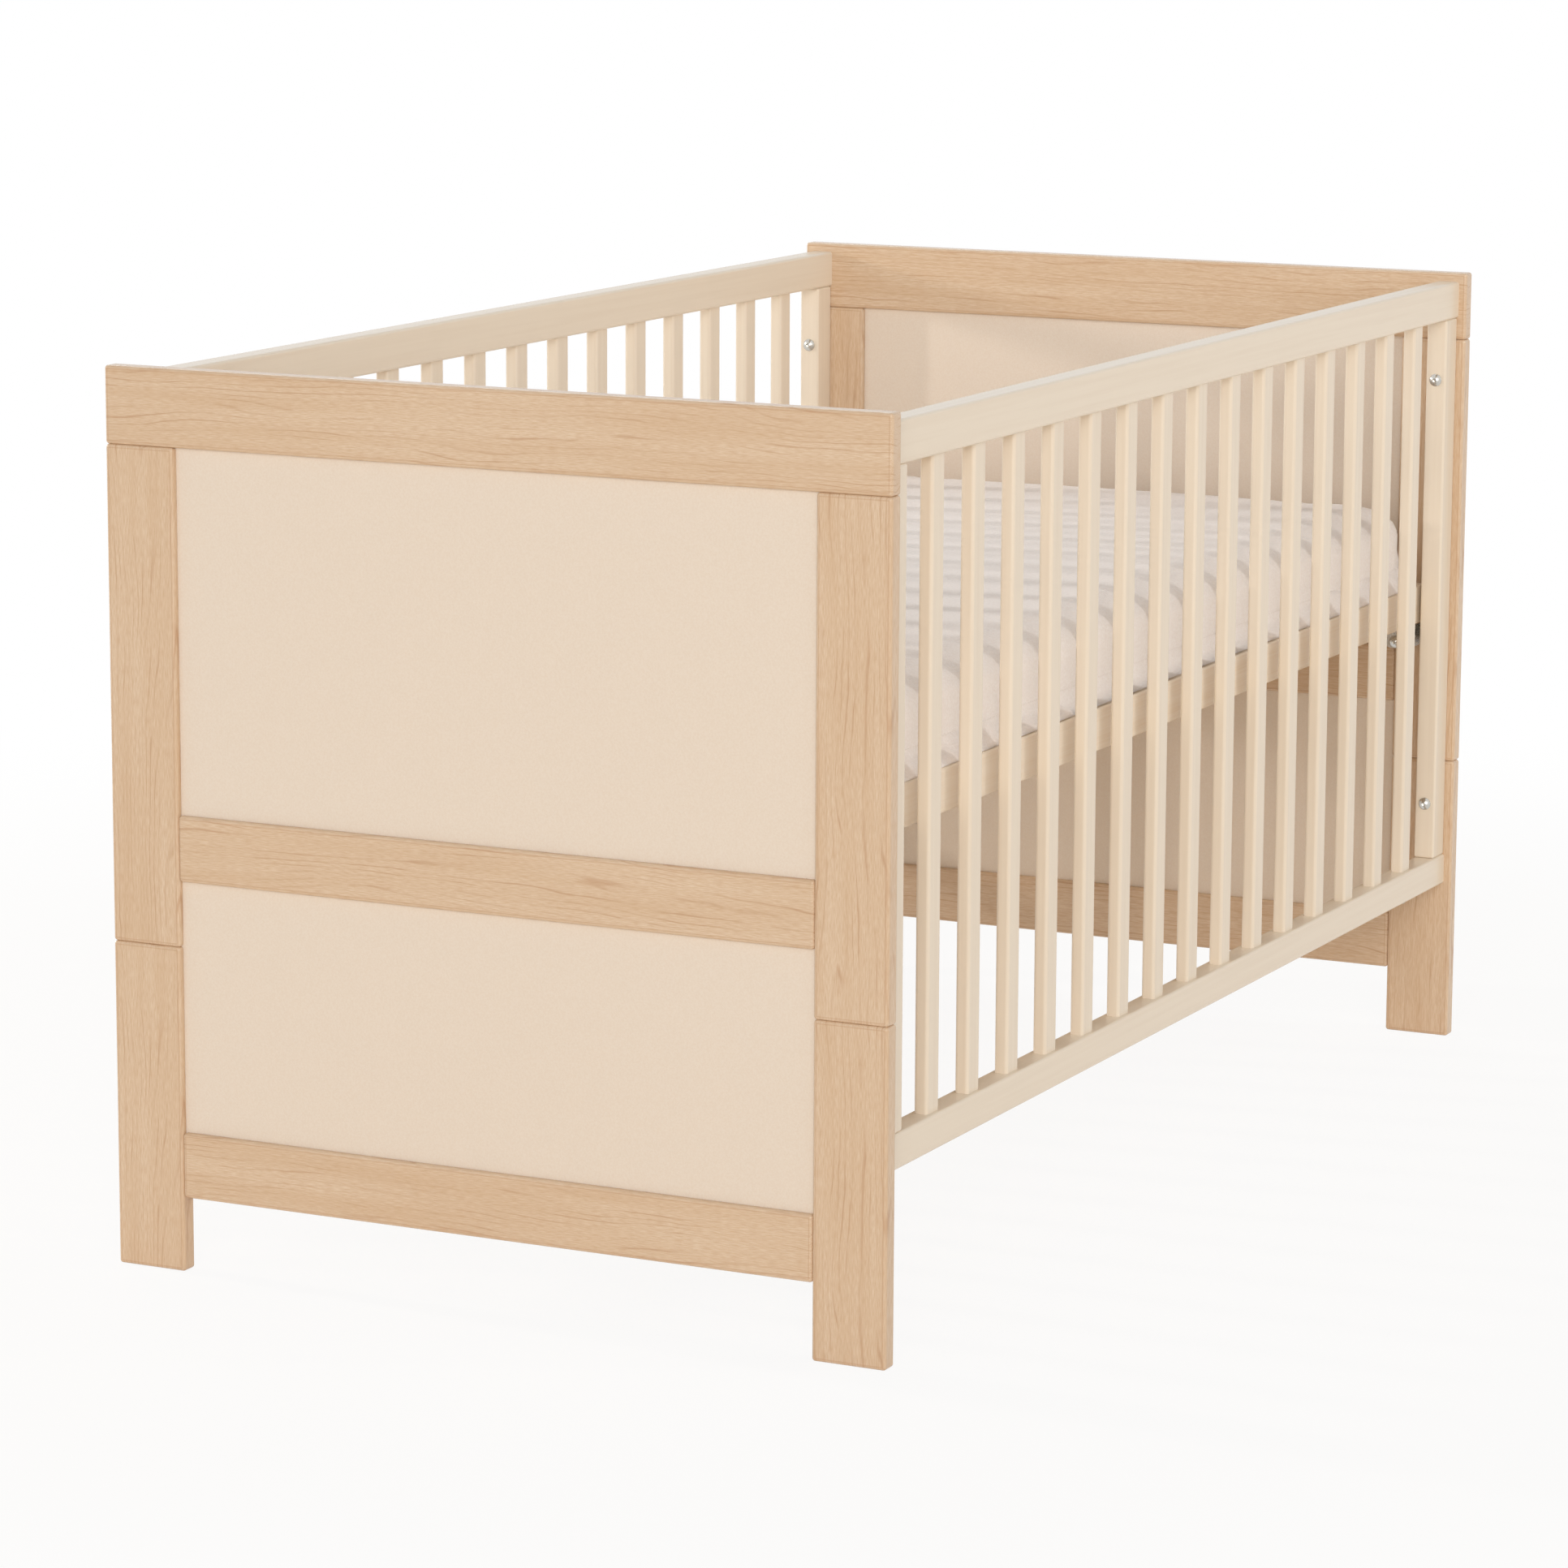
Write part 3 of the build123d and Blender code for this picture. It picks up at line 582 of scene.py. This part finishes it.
def point_piece(name, points, axes):
    """Mesh of loose points, each with the axis that its copy stands along."""
    mesh = bpy.data.meshes.new(name)
    mesh.from_pydata([tuple(point) for point in points], [], [])
    attribute = mesh.attributes.new("axis", "FLOAT_VECTOR", "POINT")
    for item, axis in zip(attribute.data, axes):
        item.vector = axis
    return new_piece(name, mesh)


def lock_bolt_shank(tip, bolt_y, bolt_z, bolt_radius):
    """Length of a lock bolt's shank, read from the loaded bolts."""
    tolerance = 0.1 * MM
    shank = []
    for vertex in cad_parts["lock_bolts"].data.vertices:
        x, y, z = vertex.co
        off = math.hypot(y - bolt_y, z - bolt_z) - bolt_radius
        if x > 0 and y > 0 and abs(off) < tolerance:
            shank.append(x)
    return tip - min(shank)


class CRIB_OT_hardware(bpy.types.Operator):
    """Plate the bolts, screws and brackets, and cut the threads of the lock bolts"""

    bl_idname = "crib.hardware"
    bl_label = "Hardware"

    def execute(self, context):
        nickel = nickel_plate(context.scene.crib_finishes)
        for node in ("side_bolts", "side_inserts", "height_inserts", "slat_screws",
                     "bracket_screws", "lock_bolts"):
            finish_node(node, nickel)
        for end in ENDS:
            for side in SIDES:
                finish_node(f"bracket_{end}_{side}", nickel)
        sizes = context.scene.crib_hardware
        low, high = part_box("lock_bolts")
        head_radius = (high.z - low.z) / 2
        bolt_y = high.y - head_radius
        bolt_z = (low.z + high.z) / 2
        shank = lock_bolt_shank(high.x, bolt_y, bolt_z, sizes.bolt_radius)
        points = []
        axes = []
        for end in (-1, 1):
            for side in (-1, 1):
                points.append(Vector((end * (high.x - shank), side * bolt_y, bolt_z)))
                axes.append(Vector((end, 0, 0)))
        places = point_piece("lock_bolt_places", points, axes)
        ridge_depth = sizes.thread_ridge / 3
        threads = run_tree(places, thread_tree(nickel), {
            "Turns": shank / sizes.thread_pitch, "Radius": sizes.bolt_radius - ridge_depth,
            "Length": shank, "Ridge": sizes.thread_ridge}, "lock_bolt_threads")
        finish_piece(threads, "mattress_base")
        return {"FINISHED"}


def mattress_blank(low, high, room):
    """Closed copy of the mattress solid, drawn in by the room that the stuffing takes up."""
    merge_distance = 0.02 * MM
    work = bmesh.new()
    work.from_mesh(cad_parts["mattress"].data)
    bmesh.ops.remove_doubles(work, verts=work.verts, dist=merge_distance)
    middle = (low + high) / 2
    size = high - low
    for vert in work.verts:
        vert.co.x = middle.x + (vert.co.x - middle.x) * (1 - 2 * room / size.x)
        vert.co.y = middle.y + (vert.co.y - middle.y) * (1 - 2 * room / size.y)
        vert.co.z = low.z + (vert.co.z - low.z) * (1 - room / size.z)
    mesh = bpy.data.meshes.new("mattress_blank")
    work.to_mesh(mesh)
    work.free()
    return new_piece("mattress_blank", mesh)


def stuff_cover(scene, pad, sizes, low):
    """Blow the cover up with cloth pressure while its underside rests flat, and keep the shape."""
    resting_depth = 2 * MM
    rest = [vert.co.copy() for vert in pad.data.vertices]
    resting = pad.vertex_groups.new(name="resting")
    resting.add([number for number, co in enumerate(rest) if co.z < low.z + resting_depth],
                1.0, "REPLACE")
    cloth = pad.modifiers.new("stuffing", "CLOTH")
    cloth.settings.quality = 5
    cloth.settings.use_pressure = True
    cloth.settings.uniform_pressure_force = sizes.pressure
    cloth.settings.vertex_group_mass = resting.name
    cloth.settings.effector_weights.gravity = 0.0
    cloth.collision_settings.use_collision = False
    cloth.point_cache.frame_end = sizes.frames
    for step in range(1, sizes.frames + 1):
        scene.frame_set(step)
    evaluated = pad.evaluated_get(bpy.context.evaluated_depsgraph_get())
    swollen = [vert.co.copy() for vert in evaluated.data.vertices]
    pad.modifiers.remove(cloth)
    pad.vertex_groups.clear()
    scene.frame_set(1)
    for vert, start, end in zip(pad.data.vertices, rest, swollen):
        push = end - start
        if push.length > sizes.swell:
            push = push * (sizes.swell / push.length)
        vert.co = start + push


def wall_gap(x, y, half, corner):
    """How far a point lies inside a rectangle with rounded corners, and the way out."""
    reach = Vector((abs(x) - half.x + corner, abs(y) - half.y + corner))
    out = Vector((max(reach.x, 0.0), max(reach.y, 0.0)))
    if out.length == 0:
        out = Vector((1.0, 0.0)) if reach.x > reach.y else Vector((0.0, 1.0))
        gap = corner - max(reach)
    else:
        gap = corner - out.length
    out.normalize()
    return gap, Vector((math.copysign(out.x, x), math.copysign(out.y, y), 0.0))


def settle_cover(pad, sizes, low, high):
    """Add soft creases and the drawn-in seam, spread the lower edge, and keep to the room."""
    fold_width, fold_height = 55 * MM, 90 * MM
    wave_length, wave_width = 210 * MM, 160 * MM
    centre = Vector(((low.x + high.x) / 2, (low.y + high.y) / 2, 0.0))
    half = (high - low) / 2 + Vector((sizes.spread, sizes.spread, 0.0))
    seam_z = low.z + sizes.seam_rise
    normals = [vert.normal.copy() for vert in pad.data.vertices]
    for vert, normal in zip(pad.data.vertices, normals):
        co = vert.co - centre
        gap, out = wall_gap(co.x, co.y, half, sizes.corner)
        rise = co.z - low.z
        nearness = max(0.0, 1 - gap / sizes.crease_reach)
        upper = min(1.0, max(0.0, rise / (high.z - low.z)))
        spot = Vector((co.x / fold_width, co.y / fold_width, co.z / fold_height))
        fold = sizes.crease * nearness * noise.fractal(spot, 1.0, 2.0, 3)
        spot = Vector((co.x / wave_length, co.y / wave_width, 0.0))
        co += normal * upper * (fold + sizes.wave * noise.noise(spot))
        draw = math.exp(-((co.z - seam_z) / sizes.seam_width) ** 2) * sizes.seam_sink
        co -= out * draw * math.hypot(normal.x, normal.y)
        if gap < sizes.lip_reach and rise < sizes.lip_height:
            co += out * gap * (1 - rise / sizes.lip_height) ** 2
        gap, out = wall_gap(co.x, co.y, half, sizes.corner)
        co += out * min(gap, 0.0)
        co.z = max(low.z, min(high.z, co.z))
        vert.co = co + centre


def seam_path(pad, low, high, height, pitch):
    """Evenly spaced points on the pad's wall at one height, each with the way along the seam."""
    rays = 3600
    work = bmesh.new()
    work.from_mesh(pad.data)
    tree = BVHTree.FromBMesh(work)
    work.free()
    middle = (low + high) / 2
    half = (high - low) / 2
    path = []
    for number in range(rays):
        turn = 2 * math.pi * number / rays
        way = Vector((half.x * math.cos(turn), half.y * math.sin(turn), 0.0)).normalized()
        start = Vector((middle.x, middle.y, low.z + height)) + way * (half.x + half.y)
        hit = tree.ray_cast(start, -way)[0]
        if hit is None:
            raise RuntimeError("the seam misses the mattress")
        path.append(hit)
    points = []
    axes = []
    travelled = 0.0
    due = 0.0
    for a, b in zip(path, path[1:] + path[:1]):
        span = (b - a).length
        while due < travelled + span:
            points.append(a.lerp(b, (due - travelled) / span))
            axes.append((b - a).normalized())
            due += pitch
        travelled += span
    return points, axes


def stitch_tree(material):
    """Node tree that lays one stitch along each point's axis."""
    tree = new_tree("seam_stitches", ("Places", "Length", "Radius"), "Stitches")
    given = add_node(tree, "NodeGroupInput").outputs
    ball = add_node(tree, "GeometryNodeMeshUVSphere", {"Segments": 6, "Rings": 4, "Radius": 1.0})
    smooth = add_node(tree, "GeometryNodeSetShadeSmooth", {"Geometry": ball})
    half = add_node(tree, "ShaderNodeMath", {"Value": given["Length"], "Value_001": 0.5},
                    operation="MULTIPLY")
    shape = add_node(tree, "ShaderNodeCombineXYZ", {
        "X": given["Radius"], "Y": given["Radius"], "Z": half})
    axis = add_node(tree, "GeometryNodeInputNamedAttribute", {"Name": "axis"},
                    data_type="FLOAT_VECTOR")
    turn = add_node(tree, "FunctionNodeAlignRotationToVector", {"Vector": axis}, axis="Z")
    copies = add_node(tree, "GeometryNodeInstanceOnPoints", {
        "Points": given["Places"], "Instance": smooth, "Rotation": turn, "Scale": shape})
    real = add_node(tree, "GeometryNodeRealizeInstances", {"Geometry": copies})
    dressed = add_node(tree, "GeometryNodeSetMaterial", {"Geometry": real, "Material": material})
    add_node(tree, "NodeGroupOutput", {tree.interface.items_tree["Stitches"].identifier: dressed})
    return tree


class CRIB_OT_mattress(bpy.types.Operator):
    """Sew and stuff the mattress"""

    bl_idname = "crib.mattress"
    bl_label = "Mattress"

    def execute(self, context):
        sizes = context.scene.crib_mattress
        finishes = context.scene.crib_finishes
        low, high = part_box("mattress")
        blank = mattress_blank(low, high, sizes.room)
        remesh = blank.modifiers.new("weave", "REMESH")
        remesh.mode = "VOXEL"
        remesh.voxel_size = sizes.voxel
        pad = plain_copy(blank, "mattress_cover")
        stuff_cover(context.scene, pad, sizes, low)
        settle_cover(pad, sizes, low, high)
        pad.data.shade_smooth()
        pad.data.materials.clear()
        pad.data.materials.append(brushed_cotton(finishes))
        finish_piece(pad, "mattress")
        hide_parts("mattress")
        points, axes = seam_path(pad, low, high, sizes.seam_rise, sizes.stitch_pitch)
        places = point_piece("stitch_places", points, axes)
        stitches = run_tree(places, stitch_tree(spun_thread(finishes)), {
            "Length": sizes.stitch_length, "Radius": sizes.stitch_radius}, "mattress_stitches")
        finish_piece(stitches, "mattress")
        return {"FINISHED"}


def seen_rays(tree):
    """1 for the rays that show the background: to the camera, in reflections and through glass."""
    rays = add_node(tree, "ShaderNodeLightPath").outputs
    mirrored = add_node(tree, "ShaderNodeMath", {
        "Value": rays["Is Camera Ray"], "Value_001": rays["Is Glossy Ray"]}, operation="MAXIMUM")
    return add_node(tree, "ShaderNodeMath", {
        "Value": mirrored, "Value_001": rays["Is Transmission Ray"]}, operation="MAXIMUM")


def studio_world(studio):
    """White room: soft light on the crib, plain white to the camera and in reflections."""
    wall_top = math.radians(20)
    ceiling_edge = math.radians(65)
    world = bpy.data.worlds.new("white_room")
    world.use_nodes = True
    tree = world.node_tree
    tree.nodes.clear()
    place = add_node(tree, "ShaderNodeTexCoord").outputs["Object"]
    height = add_node(tree, "ShaderNodeSeparateXYZ", {"Vector": place}).outputs["Z"]
    level = add_node(tree, "ShaderNodeMapRange", {
        "Value": height, "From Min": math.sin(wall_top), "From Max": math.sin(ceiling_edge),
        "To Min": studio.walls, "To Max": studio.ceiling}, interpolation_type="SMOOTHSTEP")
    light = add_node(tree, "ShaderNodeBackground", {"Color": WHITE, "Strength": level})
    white = add_node(tree, "ShaderNodeBackground", {"Color": WHITE, "Strength": 1.0})
    mixed = add_node(tree, "ShaderNodeMixShader", {
        "Fac": seen_rays(tree), "Shader": light, "Shader_001": white})
    add_node(tree, "ShaderNodeOutputWorld", {"Surface": mixed})
    return world


def studio_floor(studio):
    """Pale matt floor that shows white to the camera and keeps a light shadow."""
    reach = 40.0
    shadow_reach = 1.1
    white_reach = 2.6
    shadow_whiteness = 0.9
    corners = [(-reach, -reach, 0), (reach, -reach, 0), (reach, reach, 0), (-reach, reach, 0)]
    mesh = bpy.data.meshes.new("studio_floor")
    mesh.from_pydata(corners, [], [(0, 1, 2, 3)])
    material, tree = new_material("studio_floor_paint")
    place = add_node(tree, "ShaderNodeTexCoord").outputs["Object"]
    away = add_node(tree, "ShaderNodeVectorMath", {"Vector": place}, operation="LENGTH")
    fade = add_node(tree, "ShaderNodeMapRange", {
        "Value": away, "From Min": shadow_reach, "From Max": white_reach,
        "To Min": shadow_whiteness}, interpolation_type="SMOOTHSTEP")
    whiteness = add_node(tree, "ShaderNodeMath", {"Value": seen_rays(tree), "Value_001": fade},
                         operation="MULTIPLY")
    matt = add_node(tree, "ShaderNodeBsdfDiffuse", {"Color": studio.floor})
    glow = add_node(tree, "ShaderNodeEmission", {"Color": WHITE, "Strength": 1.0})
    mixed = add_node(tree, "ShaderNodeMixShader", {
        "Fac": whiteness, "Shader": matt, "Shader_001": glow})
    add_node(tree, "ShaderNodeOutputMaterial", {"Surface": mixed})
    mesh.materials.append(material)
    return new_piece("studio_floor", mesh)


def soft_box(name, place, size, power):
    """Rectangular area light aimed at the crib."""
    lamp = bpy.data.lights.new(name, "AREA")
    lamp.shape = "RECTANGLE"
    lamp.size, lamp.size_y = size
    lamp.energy = power
    light = bpy.data.objects.new(name, lamp)
    turn = (LIGHT_AIM - place).to_track_quat("-Z", "Y").to_matrix().to_4x4()
    light.matrix_world = Matrix.Translation(place) @ turn
    bpy.context.scene.collection.objects.link(light)


def studio_camera(studio):
    """Camera that stands where the photograph was taken from."""
    level_reach = math.cos(studio.dip)
    ahead = Vector((level_reach * math.cos(studio.yaw), level_reach * math.sin(studio.yaw),
                    -math.sin(studio.dip)))
    level = Vector((math.sin(studio.yaw), -math.cos(studio.yaw), 0.0))
    right = math.cos(studio.roll) * level + math.sin(studio.roll) * level.cross(ahead)
    up = right.cross(ahead)
    data = bpy.data.cameras.new("camera")
    data.sensor_width = 36.0
    data.lens = studio.lens
    camera = bpy.data.objects.new("camera", data)
    turn = Matrix((right, up, -ahead)).transposed().to_4x4()
    camera.matrix_world = Matrix.Translation(Vector(studio.place)) @ turn
    bpy.context.scene.collection.objects.link(camera)
    return camera


class CRIB_OT_stage(bpy.types.Operator):
    """Set the white room, the floor, the soft boxes and the camera"""

    bl_idname = "crib.stage"
    bl_label = "Studio"

    def execute(self, context):
        studio = context.scene.crib_studio
        context.scene.world = studio_world(studio)
        studio_floor(studio)
        for name, (place, size) in SOFT_BOXES.items():
            soft_box(f"{name}_light", Vector(place), size, getattr(studio, f"{name}_power"))
        context.scene.camera = studio_camera(studio)
        context.scene.view_settings.view_transform = "Standard"
        return {"FINISHED"}


class CRIB_PT_sidebar(bpy.types.Panel):
    """Settings and buttons for each group of pieces"""

    bl_idname = "CRIB_PT_sidebar"
    bl_label = "Baby crib"
    bl_space_type = "VIEW_3D"
    bl_region_type = "UI"
    bl_category = "Crib"

    def draw(self, context):
        for name, group in GROUPS.items():
            column = self.layout.column()
            for setting in group.__annotations__:
                column.prop(getattr(context.scene, name), setting)
        for operator in OPERATORS:
            self.layout.operator(operator.bl_idname)


GROUPS = {
    "crib_finishes": CribFinishes,
    "crib_mattress": CribMattress,
    "crib_hardware": CribHardware,
    "crib_studio": CribStudio,
}
OPERATORS = (
    CRIB_OT_end_boards,
    CRIB_OT_barred_sides,
    CRIB_OT_mattress_base,
    CRIB_OT_hardware,
    CRIB_OT_mattress,
    CRIB_OT_stage,
)


def register():
    """Register the property groups, operators and panel."""
    for name, group in GROUPS.items():
        bpy.utils.register_class(group)
        setattr(bpy.types.Scene, name, PointerProperty(type=group))
    for operator in OPERATORS:
        bpy.utils.register_class(operator)
    bpy.utils.register_class(CRIB_PT_sidebar)


def unregister():
    """Undo register."""
    bpy.utils.unregister_class(CRIB_PT_sidebar)
    for operator in reversed(OPERATORS):
        bpy.utils.unregister_class(operator)
    for name, group in reversed(GROUPS.items()):
        delattr(bpy.types.Scene, name)
        bpy.utils.unregister_class(group)


def main():
    """Build the crib's visible pieces and its studio."""
    register()
    bpy.ops.crib.end_boards()
    bpy.ops.crib.barred_sides()
    bpy.ops.crib.mattress_base()
    bpy.ops.crib.hardware()
    bpy.ops.crib.mattress()
    bpy.ops.crib.stage()


if __name__ == "__main__":
    main()
